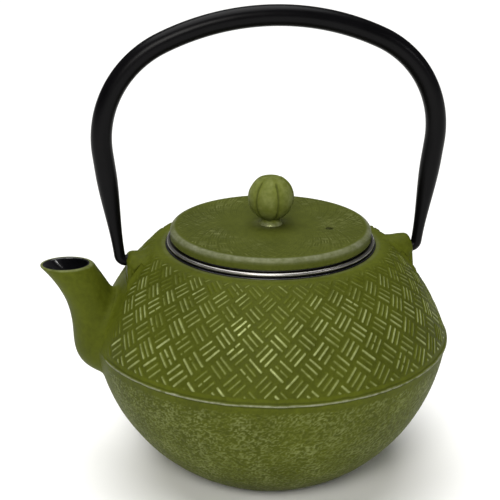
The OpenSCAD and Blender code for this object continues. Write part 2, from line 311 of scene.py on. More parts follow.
def spout_points(t, a, inset):
    """Points of the spout at t and at angle a round its section, that far in from its outside."""
    centre, long, wide = spout_section(t)
    shrink = 1 - inset / np.linalg.norm(long, axis=-1)
    x = centre[..., 0] + long[..., 0] * shrink * np.cos(a)
    z = centre[..., 1] + long[..., 1] * shrink * np.cos(a)
    return np.stack([x, -(wide - inset) * np.sin(a), z], -1)


def spout_distance(p):
    """About how far points lie outside the spout; negative inside."""
    t = np.linspace(0, 1, 61)
    centre, long, _ = spout_section(t)
    off = p[:, None, (0, 2)] - centre
    past = (off[..., 0] * long[:, 1] - off[..., 1] * long[:, 0]) / np.linalg.norm(long, axis=1)
    i = np.clip(np.abs(past).argmin(1), 1, len(t) - 2)
    row = np.arange(len(p))
    rate = (past[row, i + 1] - past[row, i - 1]) / (t[2] - t[0])
    rate = np.where(np.abs(rate) < 1e-6, 1e-6, rate)
    at = np.clip(t[i] - past[row, i] / rate, 0, 1)
    centre, long, wide = spout_section(at)
    half = np.linalg.norm(long, axis=1)
    a = ((p[:, (0, 2)] - centre) * long).sum(1) / half**2
    b = p[:, 1] / wide
    ratio = np.maximum(np.hypot(a, b), 1e-6)
    return (ratio - 1) * ratio / np.maximum(np.hypot(a / half, b / wide), 1e-6)


def ear_crest(x, side):
    """Height of an ear's crest over its pivot at that distance from the pot's axis: rounded at its
    outer face, nearly level, then sinking into the body. The ear by the spout is the lower one."""
    corner, sag, slope = 3.2, 1.2, 0.76
    round_over = corner - np.sqrt(corner**2 - np.clip(x - EAR_X + corner, 0, corner - 0.05) ** 2)
    level = sag * (1 - eased(x, EAR_LEVEL_X, EAR_X - corner)) ** 2
    top = np.where(side > 0, EAR_CREST[1], EAR_CREST[-1])
    return np.maximum(top - round_over - level - slope * np.maximum(EAR_LEVEL_X - x, 0), 0.3)


def ear_distance(p):
    """About how far points lie outside the nearer ear; negative inside."""
    x, y = np.abs(p[:, 0]), np.abs(p[:, 1])
    drop = EAR_Z - p[:, 2]
    squash = ear_crest(x, np.sign(p[:, 0])) / EAR_R
    along = drop * math.cos(EAR_FLARE) + y * math.sin(EAR_FLARE)
    flank = y * math.cos(EAR_FLARE) - drop * math.sin(EAR_FLARE) - EAR_R
    round_r = np.hypot(y, drop / squash)
    crown = (round_r - EAR_R) * round_r / np.maximum(np.hypot(y, drop / squash**2), 1e-6)
    crown = np.maximum(crown, y - EAR_R)
    side = np.where(drop > 0, np.where(along > 0, flank, round_r - EAR_R), crown)
    face = x - EAR_X
    soft = 1.5
    return np.maximum(side, face) + np.maximum(soft - np.abs(side - face), 0) ** 2 / (4 * soft)


def rise(points, normals, other, corner):
    """How far a soft inner corner lifts a surface along its normals, towards another surface that
    other(points) measures. The corner runs where sqrt(own / corner) + sqrt(other / corner) = 1, and
    each surface dives under the other past the middle of it."""
    lift = np.zeros(len(points))
    near = np.flatnonzero(other(points) < corner)
    at = points[near]
    step = 0.05
    slope = np.stack([other(at + step * axis) - other(at - step * axis) for axis in np.eye(3)], 1)
    slope /= np.maximum(np.linalg.norm(slope, axis=1, keepdims=True), 1e-9)
    # where the two surfaces run nearly side by side there is hardly a corner to fill
    corner = corner * np.clip(1 - (slope * normals[near]).sum(1), 0.02, 1)
    middle = corner / 4
    for _ in range(10):
        gap = other(at + normals[near] * lift[near, None])
        outer = corner * (1 - np.sqrt(np.clip(gap, 0, corner) / corner)) ** 2
        hidden = np.maximum(middle - 0.6 * (middle - gap), 0)
        goal = np.where(gap > middle, outer, hidden)
        lift[near] += 0.5 * (goal - lift[near])
    return lift


def grid_normals(grid):
    """Outward normals of a grid of rings, indexed by ring and by place round the ring."""
    up = np.gradient(grid, axis=0)
    around = np.roll(grid, -1, axis=1) - np.roll(grid, 1, axis=1)
    n = np.cross(around, up)
    return n / np.maximum(np.linalg.norm(n, axis=2, keepdims=True), 1e-9)


# ---- relief
def weave(turn, v):
    """The basket weave at an angle round the pot and at row v: blocks of three raised strokes leaning
    one way, and between them blocks leaning the other. Gives each place's height and its stroke's own
    number. No two strokes are cut alike in length, place, width or height, and a few are broken."""
    u = turn * WEAVE_ROUND / (2 * np.pi)
    height, number = np.zeros_like(u), np.zeros_like(u)
    for lean, shift in ((1, 0.0), (-1, 0.5)):
        du, dv = u - WEAVE_U - shift, (v - WEAVE_V) / WEAVE_PITCH_V - shift
        column, row = np.round(du), np.round(dv)
        du, dv = du - column, dv - row
        along, across = (du + lean * dv) / math.sqrt(2), (dv - lean * du) / math.sqrt(2)
        for k in (-1, 0, 1):
            stroke = [np.full_like(u, 3 * k + lean + n) for n in (11, 31, 51)]
            own = [scrambled(column % WEAVE_ROUND, row + 50, n) for n in stroke]
            half_l = STROKE_HALF_L * (0.86 + 0.2 * own[0])
            side = k * STROKE_GAP + 0.022 * (own[1] - 0.5) + 0.05 * along * (own[2] - 0.5)
            away = np.hypot(np.maximum(np.abs(along - 0.03 * (own[2] - 0.5)) - half_l, 0), across - side)
            bump = np.clip(1 - (away / (STROKE_HALF_W * (0.9 + 0.2 * own[1]))) ** 2, 0, 1)
            broken = (own[2] > 0.92) * (1 - eased(np.abs(along - 0.3 * (own[0] - 0.5)), 0.01, 0.05))
            bump = bump * (0.72 + 0.28 * own[0]) * (1 - 0.8 * broken)
            number = np.where(bump > height, own[1], number)
            height = np.maximum(height, bump)
    return height, number


def shoulder_rows():
    """How many weave rows lie between the seam and each angle of the shoulder's curve."""
    angle = np.linspace(SHOULDER_START, math.pi / 2, 600)
    r = SHOULDER_R * np.cos(angle) - SHOULDER_OFFSET
    rate = SHOULDER_R / np.maximum(r, 1) * WEAVE_ROUND / (2 * np.pi)
    rows = np.concatenate([[0], np.cumsum((rate[1:] + rate[:-1]) / 2 * np.diff(angle))])
    return angle, rows


SHOULDER_ANGLES, SHOULDER_ROWS = shoulder_rows()


def body_relief(p):
    """Height of the casting's relief at points near its outside, how far paint is rubbed off there,
    how bare the iron is, and how much painted shade darkens it in hollows and creases."""
    r, z = np.hypot(p[:, 0], p[:, 1]), p[:, 2]
    turn = np.arctan2(p[:, 1], p[:, 0])
    # weave on the shoulder
    tilt = np.arctan2(z - SHOULDER_Z, r + SHOULDER_OFFSET)
    v = np.interp(tilt, SHOULDER_ANGLES, SHOULDER_ROWS)
    height, number = weave(turn, v)
    gap = spout_gap(p)
    clear_spout = eased(gap, *SPOUT_CLEAR)
    clear_ear = eased(ear_distance(p), 1.0, 6.0)
    top_fade = eased(r + 0.4 * lumps(p, 17, 3), WEAVE_TOP_R, WEAVE_TOP_R + 2.8)
    top_fade = top_fade * (1 - 0.2 * eased(z, 94, 103))
    foot_fade = eased(z, SEAM_Z + 2.1, SEAM_Z + 3.1)
    woven = foot_fade * top_fade * clear_spout * clear_ear
    height = height * woven
    # skin of the bowl: thin curled ridges 1.5 to 3 mm apart, as wet mould wash leaves
    fine, coarse = lumps(p, 1.5, 11), lumps(p, 2.7, 12)
    curl = np.clip(1 - 1.9 * np.abs(fine + 0.45 * coarse), 0, 1)
    peel_zone = eased(SEAM_Z - z, 1.2, 5.0) * eased(gap, 2, 14)
    peel = curl * peel_zone * (0.75 + 0.25 * eased(lumps(p, 11, 5), -0.5, 0.6))
    # casting seam, where the two halves of the mould met: it drifts, swells and is chipped
    ring = np.stack([SEAM_R * np.cos(turn), SEAM_R * np.sin(turn), np.zeros_like(turn)], 1)
    drift = 0.16 * lumps(ring, 9, 21)
    off = np.abs(z - SEAM_Z - drift) / (SEAM_HALF_H * (0.9 + 0.25 * lumps(ring, 5, 22)))
    chipped = eased(lumps(ring, 3.5, 23), -0.75, -0.3)
    seam = (1 - eased(off, 0.35, 1.25)) * (0.62 + 0.38 * chipped) * clear_spout
    waves = 0.07 * lumps(p, 14, 8) + 0.03 * lumps(p, 4, 9)
    # strokes lie flatter where the bail comes to rest on the shoulder, on both sides of both ears
    to_bail = np.linalg.norm(np.abs(p) - BAIL_REST, axis=1)
    flattened = 0.5 * (1 - eased(to_bail, 5, 9))
    lift = STROKE_H * height * (1 - flattened) + PEEL_H * peel + SEAM_PROUD * seam
    lift = lift + waves * eased(z, 1.5, 6)
    # paint goes first from what stands proud, and stays in the hollows
    worn = worn_patches(p, 9, 2.2, 31)
    rub = 1.3 * eased(height, 0.58, 0.9) * (0.45 + 0.55 * number) * (0.3 + 0.7 * worn)
    rub *= 1 - 0.15 * eased(z, 82, 100)
    rub += eased(peel, 0.4, 0.9) * 0.37 * (0.5 + 0.5 * worn)
    bare = eased(seam, 0.45, 0.85) * (0.35 + 0.65 * worn)
    lip = eased(r, LIP_R - 0.4, LIP_R) * (1 - eased(r, LIP_R + 0.6, LIP_R + 2.4)) * (z > MOUTH_Z - 2)
    bare += 0.2 * lip * (0.4 + 0.6 * worn)
    # painted shade: the weave's hollows, the valleys between the bowl's curls and a band just off the seam
    # are darkened in colour where shade falls
    deep = (1 - eased(height, 0.05, 0.5)) * woven * 0.55 + 0.5 * peel_zone * (1 - eased(curl, 0.1, 0.6))
    deep += eased(off, 0.9, 1.4) * (1 - eased(off, 1.8, 3.2)) * 0.7 * clear_spout
    return lift, rub, bare, deep


def spout_gap(p):
    """Distance to the spout for points on its side of the pot, and a large number elsewhere."""
    gap = np.full(len(p), 50.0)
    near = np.flatnonzero((p[:, 0] < -30) & (np.abs(p[:, 1]) < 45))
    gap[near] = spout_distance(p[near])
    return gap


# ---- the casting
# points in a ring: fine where the weave is, and halved ring by ring towards a pole
FINE = 1520
COARSE = FINE // 2
HALF = COARSE // 2
QUARTER = COARSE // 4
EIGHTH = COARSE // 8


def casting_outline():
    """(radius, height, normal's radius part, normal's height part, points round) from pole to pole."""
    foot = [(0, FOOT_RECESS, 1), (9, FOOT_RECESS, EIGHTH), (19, FOOT_RECESS, QUARTER)]
    foot += [(27.4, FOOT_RECESS, HALF), (28.2, 0.3, HALF), (28.8, 0, HALF), (31.5, 0, HALF)]
    foot += [(33.7, 0, COARSE), (34.5, 0.1, COARSE), (35.2, 0.28, COARSE)]
    rows = [(r, z, 0, -1, count) for r, z, count in foot]
    # the rings lie 0.6 mm apart, and 0.2 mm apart across the seam
    first = math.asin((0.6 - BOWL_Z) / BOWL_HALF_H)
    last = math.asin((SEAM_Z - 1.6 - BOWL_Z) / BOWL_HALF_H)
    for a in np.linspace(first, last, 168):
        n = np.array([math.cos(a) / BOWL_R, math.sin(a) / BOWL_HALF_H])
        n /= np.linalg.norm(n)
        rows.append((BOWL_R * math.cos(a), BOWL_Z + BOWL_HALF_H * math.sin(a), *n, COARSE))
    for z in np.arange(SEAM_Z - 1.4, SEAM_Z - 0.01, 0.2):
        a = math.asin((z - BOWL_Z) / BOWL_HALF_H)
        rows.append((BOWL_R * math.cos(a), z, 1, 0, FINE))
    near = SHOULDER_START + np.arange(0, 1.5, 0.2) / SHOULDER_R
    far = np.linspace(near[-1], BROW_ANGLE, 140)[1:]
    for a in (*near, *far):
        c, s = math.cos(a), math.sin(a)
        n = (1, 0) if a in near else (c, s)
        rows.append((SHOULDER_R * c - SHOULDER_OFFSET, SHOULDER_Z + SHOULDER_R * s, *n, FINE))
    for a in np.linspace(BROW_ANGLE, math.pi / 2, 25)[1:]:
        c, s = math.cos(a), math.sin(a)
        rows.append((BROW_X + BROW_R * c, BROW_Z + BROW_R * s, c, s, FINE if a < 1.4 else COARSE))
    mouth = ((48.3, COARSE), (47.2, COARSE), (46.0, COARSE), (44.6, HALF), (30, QUARTER), (0, 1))
    return rows + [(r, MOUTH_Z, 0, 1, count) for r, count in mouth]


def turned_casting():
    """The turned body with its relief, lifted softly towards the spout and the ears."""
    rings, normals = [], []
    for r, z, nr, nz, count in casting_outline():
        rings.append(turned_ring(r, z, count))
        normals.append(turned_ring(nr, nz, count) if nr else np.tile([0.0, 0.0, float(nz)], (count, 1)))
    points, quads, tris = skin(rings)
    normal = np.concatenate(normals)
    lift = body_relief(points)[0]
    # the land round the mouth is nearly flat, and the foot's ring and recess are quite flat
    lift[points[:, 2] > MOUTH_Z - 0.5] *= 0.3
    lift += rise(points, normal, spout_gap, SPOUT_CORNER)
    lift += rise(points, normal, ear_distance, EAR_CORNER) * (points[:, 2] > SEAM_Z)
    lift[points[:, 2] < FOOT_RECESS + 0.05] = 0
    return solid_from("pot_casting", points + normal * lift[:, None], quads, tris)


def spout_rings(inset, lip, above=0.0, sides=112, steps=110):
    """Rings of the spout up to its level mouth, whose edge is rounded by lip, or flared if lip < 0."""
    a = np.arange(sides) * 2 * np.pi / sides
    t = np.linspace(0, 1, 301)
    heights = spout_points(t[:, None], a[None, :], inset)[..., 2]

    def reach(level):
        return np.array([np.interp(level, heights[:, k], t) for k in range(sides)])

    below_edge = reach(SPOUT_MOUTH_Z - abs(lip))
    grid = np.array([spout_points(share * below_edge, a, inset) for share in np.linspace(0, 1, steps)])
    ends = []
    for turn in np.linspace(0, math.pi / 2, 7)[1:]:
        at = reach(SPOUT_MOUTH_Z - abs(lip) * (1 - math.sin(turn)))
        ends.append(spout_points(at, a, inset + lip * (1 - math.cos(turn))))
    if above:
        ends.append(ends[-1] + np.array([0, 0, above]))
    return grid, ends


def capped(rings):
    """A stack of rings with a pole in the middle of its first and of its last one."""
    return [rings[0].mean(0)[None], *rings, rings[-1].mean(0)[None]]


def spout_casting():
    """The spout's outside, with its root lifted softly towards the body."""
    grid, ends = spout_rings(0.0, 0.9)
    normal = grid_normals(grid)
    flat, n = grid.reshape(-1, 3), normal.reshape(-1, 3)
    lift = rise(flat, n, body_distance, SPOUT_CORNER)
    skin_waves = 0.06 * lumps(flat, 7, 41) + 0.03 * lumps(flat, 2.5, 42)
    away_from_lip = eased(SPOUT_MOUTH_Z - flat[:, 2], 1.0, 4.0)
    grid = (flat + n * (lift + skin_waves * away_from_lip)[:, None]).reshape(grid.shape)
    return solid_from("spout", *skin(capped([*grid, *ends])))


def spout_channel(inset, above):
    """A solid of the spout's hollow, whose mouth flares softly."""
    grid, ends = spout_rings(inset, -0.5, above, sides=72, steps=60)
    return solid_from("channel", *skin(capped([*grid, *ends])))


def ear_outline(count=96):
    """The ear's outline across the pot, counter-clockwise from below: a round top on flared sides."""
    foot_z = EAR_Z - EAR_ROOT_DROP
    rim = np.linspace(-EAR_FLARE, math.pi + EAR_FLARE, count // 2)
    top = np.stack([EAR_R * np.cos(rim), EAR_Z + EAR_R * np.sin(rim)], 1)
    foot_y = top[0, 0] + (top[0, 1] - foot_z) * math.tan(EAR_FLARE)
    side, base = count // 6, count - count // 2 - 2 * (count // 6)
    right = line((foot_y, foot_z), top[0], side)
    left = line(top[-1], (-foot_y, foot_z), side + 1)[1:]
    return np.concatenate([right, top, left, line((-foot_y, foot_z), (foot_y, foot_z), base)])


def ear_casting(side):
    """One ear as rings from inside the body out to its flat face."""
    outline = ear_outline()
    stations = [(x, 0.0) for x in np.linspace(EAR_ROOT_X, EAR_X - EAR_EDGE, 34)]
    for turn in np.linspace(0, math.pi / 2, 7)[1:]:
        stations.append((EAR_X - EAR_EDGE * (1 - math.sin(turn)), EAR_EDGE * (1 - math.cos(turn))))
    grid = []
    for x, inset in stations:
        y, z = outline[:, 0].copy(), outline[:, 1].copy()
        above = z > EAR_Z
        z[above] = EAR_Z + (z[above] - EAR_Z) * ear_crest(min(x, EAR_X - 0.25), side) / EAR_R
        size = np.hypot(y, z - EAR_Z)
        shrink = 1 - inset / np.maximum(size, 1)
        grid.append(np.stack([np.full(len(y), x), y * shrink, EAR_Z + (z - EAR_Z) * shrink], 1))
    grid = np.array(grid)
    normal = grid_normals(grid)
    flat, n = grid.reshape(-1, 3), normal.reshape(-1, 3)
    lift = rise(flat, n, body_distance, EAR_CORNER) * (flat[:, 0] < EAR_X - EAR_EDGE)
    grid = (flat + n * (lift + 0.05 * lumps(flat, 3, 51))[:, None]).reshape(grid.shape)
    hub = np.array([EAR_X, 0, EAR_Z])
    inner = [hub + (grid[-1] - hub) * k for k in (0.75, 0.5)]
    rings = [grid[0].mean(0)[None], *grid, *inner, hub[None]]
    if side < 0:
        rings = [(ring * np.array([-1, 1, 1]))[::-1] for ring in rings]
    return solid_from("ear", *skin(rings))


def hollow(skin_t, top):
    """A solid of the pot's inside, that far in from the bare iron's own inner face."""
    w, floor_z = WALL + skin_t, FLOOR + skin_t
    roof_z = MOUTH_Z - MOUTH_T - skin_t
    floor_angle = math.asin((BOWL_Z - floor_z) / (BOWL_HALF_H - w))
    seam_angle = math.asin((BOWL_Z - SEAM_Z) / BOWL_HALF_H)
    roof_angle = math.asin((roof_z - SHOULDER_Z) / (SHOULDER_R - w))
    bowl = arc(0, BOWL_Z, BOWL_R - w, BOWL_HALF_H - w, -floor_angle, -seam_angle, 40)
    inner_r = SHOULDER_R - w
    shoulder = arc(-SHOULDER_OFFSET, SHOULDER_Z, inner_r, inner_r, SHOULDER_START + 0.01, roof_angle, 24)
    neck = MOUTH_R - skin_t
    profile = [(0, floor_z), (12, floor_z), *bowl, *shoulder, (neck, roof_z), (neck, top), (0, top)]
    return solid_from("hollow", *turned(profile, 240))


def rod(name, start, end, r, sides=48):
    """A plain straight solid between two points, for cutting a bore."""
    start, end = np.array(start, float), np.array(end, float)
    axis = (end - start) / np.linalg.norm(end - start)
    side = np.cross(axis, (0, 0, 1) if abs(axis[2]) < 0.9 else (1, 0, 0))
    side /= np.linalg.norm(side)
    other = np.cross(axis, side)
    a = np.arange(sides)[:, None] * 2 * np.pi / sides
    ring = r * (np.cos(a) * side + np.sin(a) * other)
    return solid_from(name, *skin([start[None], start + ring, end + ring, end[None]]))


def make_casting():
    """The bare iron casting, hollow, with its spout, ears and bores, marked for its paint."""
    body = turned_casting()
    ears = [ear_casting(side) for side in (1, -1)]
    bores = [rod("bore", (s * BORE_END, 0, EAR_Z), (s * (EAR_X + 2), 0, EAR_Z), BORE_R) for s in (1, -1)]
    channel = spout_channel(SPOUT_WALL, 1.5)
    carve(body, (spout_casting(), *ears), (hollow(0, MOUTH_Z + 1), channel, *bores))
    p = places(body)
    _, rub, bare, deep = body_relief(p)
    spout = eased(-spout_gap(p), -3.0, 0.5) * (body_distance(p) > 1)
    worn = worn_patches(p, 6, 1.8, 61)
    lip = eased(p[:, 2], SPOUT_MOUTH_Z - 0.7, SPOUT_MOUTH_Z - 0.15) * spout * (p[:, 0] < -70)
    rub = np.maximum(rub * (1 - spout), 0.3 * lip * worn)
    bare = bare * (1 - spout) + 0.35 * lip * worn
    outside = body_distance(p) >= -1.2
    # the painted shade of the weave and seam is left off the spout
    note(body, rub=rub * outside, bare=bare * outside, deep=deep * (1 - spout) * outside)
    return body


def make_lining():
    """The glass inside: a thin skin on the hollow and the spout's channel, with a round-edged lip."""
    edge = 0.25
    lip = [(0, MOUTH_Z), (LIP_R, MOUTH_Z)]
    lip += list(arc(LIP_R - edge, MOUTH_Z + ENAMEL - edge, edge, edge, 0, math.pi / 2, 5))
    lip.append((0, MOUTH_Z + ENAMEL))
    lining = hollow(0, MOUTH_Z + ENAMEL / 2)
    lining.name = "pot_lining"
    outer = spout_channel(SPOUT_WALL, 0)
    inner = spout_channel(SPOUT_WALL + ENAMEL, 1.5)
    cuts = (hollow(ENAMEL, MOUTH_Z + 2), inner)
    return carve(lining, (solid_from("lip", *turned(lip, 240)), outer), cuts)


# ---- lid and knob
LID_R = reach_of("lid")
LID_Z = 107.3
LID_TOP = 112.3
LID_CROWN = top_of("lid") - LID_TOP
LID_UNDER = 108.6
FLANGE_R = 39.6
FLANGE_IN_R = 37.0
FLANGE_Z = foot_of("lid")
BEVEL = 2.0
VENT_TURN = math.radians(-22)
VENT_X, VENT_Y = 26.0 * math.cos(VENT_TURN), 26.0 * math.sin(VENT_TURN)
VENT_R = 1.1
KNOB_TURN = math.radians(40)
KNOB_RIBS = 6
KNOB_R = reach_of("knob")
KNOB_Z = 124.9
KNOB_FOOT = foot_of("knob")
LID_WEAVE_H = 0.3
LID_EDGE = 0.4
SCREW_HOLE_R = 2.2
TAP_R = 2.05
TAP_END_Z = 122.0


def make_lid():
    """The lid: nearly flat, with a faint weave round its edge, a smooth middle and a rubbed bevel."""
    top_r = LID_R - BEVEL
    rows = [(0, LID_UNDER, 1), (5, LID_UNDER, EIGHTH), (20, LID_UNDER, QUARTER)]
    flange = [(FLANGE_IN_R - LID_EDGE, LID_UNDER), (FLANGE_IN_R, LID_UNDER - LID_EDGE)]
    flange += [(FLANGE_IN_R, FLANGE_Z + LID_EDGE), (FLANGE_IN_R + LID_EDGE, FLANGE_Z)]
    flange += [(FLANGE_R - LID_EDGE, FLANGE_Z), (FLANGE_R, FLANGE_Z + LID_EDGE), (FLANGE_R, LID_Z)]
    rows += [(r, z, HALF) for r, z in flange]
    side = [(LID_R - LID_EDGE, LID_Z), (LID_R, LID_Z + LID_EDGE), (LID_R, LID_TOP - BEVEL - 0.8)]
    side += list(arc(top_r, LID_TOP - BEVEL, BEVEL, BEVEL, 0, 1.36, 12))
    rows += [(r, z, COARSE) for r, z in side]
    top = [(r, COARSE) for r in np.arange(top_r - 0.1, 17.0, -0.34)]
    top += [(15, HALF), (12, HALF), (9, QUARTER), (6, QUARTER), (3, EIGHTH), (0, 1)]
    rows += [(r, LID_TOP + LID_CROWN * (1 - (r / top_r) ** 2), count) for r, count in top]
    points, quads, tris = skin([turned_ring(r, z, count) for r, z, count in rows])
    points[:, 2] += lid_relief(points)[0]
    lid = solid_from("lid_casting", points, quads, tris)
    above = LID_TOP + 3
    vent = rod("vent", (VENT_X, VENT_Y, FLANGE_Z), (VENT_X, VENT_Y, above), VENT_R)
    screw_hole = rod("screw_hole", (0, 0, FLANGE_Z), (0, 0, above), SCREW_HOLE_R)
    carve(lid, (), (vent, vent_mouth(), screw_hole))
    _, rub, bare, deep = lid_relief(places(lid))
    note(lid, rub=rub, bare=bare, deep=deep)
    return lid


def vent_mouth():
    """A shallow cone that opens out the top of the steam vent."""
    low, high = LID_TOP - 0.3, LID_TOP + LID_CROWN + 0.4
    rings = [np.array([(0.0, 0.0, low)]), turned_ring(VENT_R - 0.05, low, 48)]
    rings += [turned_ring(VENT_R + 0.75, high, 48), np.array([(0.0, 0.0, high)])]
    return solid_from("vent_mouth", *skin([ring + np.array([VENT_X, VENT_Y, 0]) for ring in rings]))


def lid_relief(p):
    """Relief of the lid's top: its height, rub, bareness and painted shade."""
    r, z = np.hypot(p[:, 0], p[:, 1]), p[:, 2]
    turn = np.arctan2(p[:, 1], p[:, 0])
    on_top = z > LID_TOP - 0.35
    v = np.log(np.maximum(r, 1) / (LID_R - BEVEL)) * WEAVE_ROUND / (2 * np.pi)
    height, number = weave(turn, -v)
    zone = eased(r, 11, 26) * (1 - eased(r, 40.4, 41.6)) * (0.7 + 0.3 * lumps(p, 13, 71)) * on_top
    height = height * zone
    waves = (0.05 * lumps(p, 8, 72) + 0.03 * lumps(p, 2.6, 73)) * (1 - eased(r, 39, 42)) * on_top
    worn = worn_patches(p, 8, 2, 74)
    rub = eased(height, 0.4, 0.85) * 0.95 * (0.4 + 0.6 * number) * (0.3 + 0.7 * worn)
    edge = eased(r, LID_R - BEVEL - 0.5, LID_R - 1.3) * (z > LID_TOP - BEVEL - 0.6)
    bare = 0.55 * edge * (0.35 + 0.65 * worn) * (1 - 0.7 * eased(LID_TOP - z, 1.0, 2.0))
    round_knob = (1 - eased(r, 5.0, 7.0)) * on_top * 0.6 * worn
    # painted shade in the hollows of the lid's weave
    deep = 0.65 * zone * (1 - eased(height, 0.05, 0.5))
    # a ring of painted shade round the steam vent makes the hole look darker
    to_vent = np.hypot(p[:, 0] - VENT_X, p[:, 1] - VENT_Y)
    deep = np.maximum(deep, 1.6 * (1 - eased(to_vent, 1.5, 2.1)))
    return LID_WEAVE_H * height + waves, rub + round_knob, bare, deep


def make_knob():
    """The knob: a ball in six panels on a flared neck, with a small round cap on top."""
    foot = [(0, KNOB_FOOT), (4.4, KNOB_FOOT), (5.2, KNOB_FOOT + 0.05), (5.15, KNOB_FOOT + 0.5)]
    foot += [(4.6, KNOB_FOOT + 1.1), (4.05, KNOB_FOOT + 1.6), (3.9, KNOB_FOOT + 2.1)]
    under = -math.acos(4.3 / KNOB_R)
    over = math.acos(5.2 / KNOB_R)
    ball = list(arc(0, KNOB_Z, KNOB_R, KNOB_R, under, over, 96))
    rim_z = KNOB_Z + KNOB_R * math.sin(over)
    cap_top = top_of("knob") - 0.02
    cap = [(5.0, rim_z - 0.12), (4.85, rim_z - 0.1), (4.7, rim_z + 0.05), (4.5, rim_z + 0.2)]
    cap += [(r, cap_top - 0.24 * (r / 4.2) ** 2) for r in (4.2, 3.2, 2.2, 1.1, 0)]
    points, quads, tris = turned([*foot, *ball, *cap], 192)
    panel, ribs = knob_groove(points)
    r = np.hypot(points[:, 0], points[:, 1])
    outward = (points - np.array([0, 0, KNOB_Z])) / KNOB_R
    ballish = (np.abs(points[:, 2] - KNOB_Z) < KNOB_R - 0.2) & (r > 4.25)
    depth = np.where(ballish, -0.5 * ribs - 0.16 * (1 - panel) + 0.04 * lumps(points, 2.2, 81), 0)
    knob = solid_from("knob_casting", points + outward * depth[:, None], quads, tris)
    carve(knob, (), (rod("tapped_hole", (0, 0, KNOB_FOOT - 1), (0, 0, TAP_END_Z), TAP_R),))
    p = places(knob)
    panel, ribs = knob_groove(p)
    worn = worn_patches(p, 4, 1.3, 82)
    foot_rub = 1 - eased(p[:, 2], KNOB_FOOT + 0.8, KNOB_FOOT + 1.8)
    rub = 0.22 * worn * panel + 0.85 * foot_rub * worn
    # painted shade in the grooves between the panels
    note(knob, rub=rub, bare=0.35 * foot_rub * worn, deep=0.9 * ribs)
    return knob


def knob_groove(p):
    """How high on its panel a point of the knob is, and how far into a groove between two panels it lies.
    """
    r = np.hypot(p[:, 0], p[:, 1])
    turn = np.arctan2(p[:, 1], p[:, 0]) - KNOB_TURN
    share = turn * KNOB_RIBS / (2 * np.pi)
    off = np.abs(share - np.round(share)) * 2
    away = r * np.abs(np.sin(off * math.pi / KNOB_RIBS))
    tilt = np.abs(p[:, 2] - KNOB_Z) / KNOB_R
    groove = np.exp(-((away / 0.42) ** 2)) * (1 - eased(tilt, 0.72, 0.84))
    return eased(off, 0, 0.7), groove


# ---- bail
BAIL_H = 104.9
BAIL_TOP_R = 109.4
BAIL_TOP_HALF = math.radians(25.4)
BAIL_BEND_R = 44.8
BAIL_LEAN = math.radians(7.3)
TUBE_R = 4.5
TUBE_SIDES = 40
TAPER_FOOT = 4.0
TAPER_TOP = 40.0
ELBOW_R = 2.8
PIN_END = 57.2


def bail_stations():
    """Centre, facing angle and radius of the bail's rings, from one pin to the crown."""
    end = math.pi / 2 - BAIL_TOP_HALF
    top = np.array([0, BAIL_H - BAIL_TOP_R])
    bend = top + (BAIL_TOP_R - BAIL_BEND_R) * np.array([math.cos(end), math.sin(end)])
    limb_top = bend + BAIL_BEND_R * np.array([math.cos(BAIL_LEAN), -math.sin(BAIL_LEAN)])
    foot_x = limb_top[0] - limb_top[1] * math.tan(BAIL_LEAN)
    elbow_x = foot_x - ELBOW_R * (1 - math.sin(BAIL_LEAN)) / math.cos(BAIL_LEAN)
    elbow = np.array([elbow_x, ELBOW_R])
    found = [((x, 0), -math.pi / 2, PIN_R) for x in np.linspace(PIN_END + 0.3, elbow_x, 8)[:-1]]

    def sweep(centre, r, first, last, count, size):
        for a in np.linspace(first, last, count):
            found.append((centre + r * np.array([math.cos(a), math.sin(a)]), a, size))

    sweep(elbow, ELBOW_R, -math.pi / 2, -BAIL_LEAN, 14, PIN_R)
    elbow_top = ELBOW_R * (1 - math.sin(BAIL_LEAN))
    for w in np.linspace(elbow_top + 0.6, limb_top[1] - 0.6, 44):
        size = PIN_R + (TUBE_R - PIN_R) * eased(w, TAPER_FOOT, TAPER_TOP)
        found.append(((foot_x + w * math.tan(BAIL_LEAN), w), -BAIL_LEAN, size))
    sweep(bend, BAIL_BEND_R, -BAIL_LEAN, end, 40, TUBE_R)
    sweep(top, BAIL_TOP_R, end + 0.02, math.pi / 2, 26, TUBE_R)
    return found


def make_bail():
    """The bail: one bent tube, swaged down at both ends into its own pivot pins."""
    a = np.arange(TUBE_SIDES) * 2 * np.pi / TUBE_SIDES
    half = []
    for (x, w), facing, size in bail_stations():
        out = np.array([math.cos(facing), 0, math.sin(facing)])
        ring = size * (np.cos(a)[:, None] * out - np.sin(a)[:, None] * np.array([0, 1, 0]))
        half.append(np.array([x, 0, EAR_Z + w]) + ring)
    middle = half[0].mean(0)
    tip = middle + (half[0] - middle) * 0.88 - np.array([0.25, 0, 0])
    half = [np.array([[PIN_END, 0, EAR_Z]]), tip, *half]
    other = [ring * np.array([-1, 1, 1]) for ring in half[-2::-1]]
    return solid_from("bail_tube", *skin([*half, *other]))


# ---- infuser
# A real basket has about 0.5 mm between wires; these are drawn coarser so that the weave shows.
WIRE_PITCH = 1.4
WIRE_R = 0.15
WIRE_SIDES = 6
WAVE = WIRE_R + 0.01
BASKET_FOOT_R = 38.9


def spoke(turn):
    """Level unit vectors at those angles round the Z axis."""
    return np.stack([np.cos(turn), np.sin(turn), 0 * turn], -1)


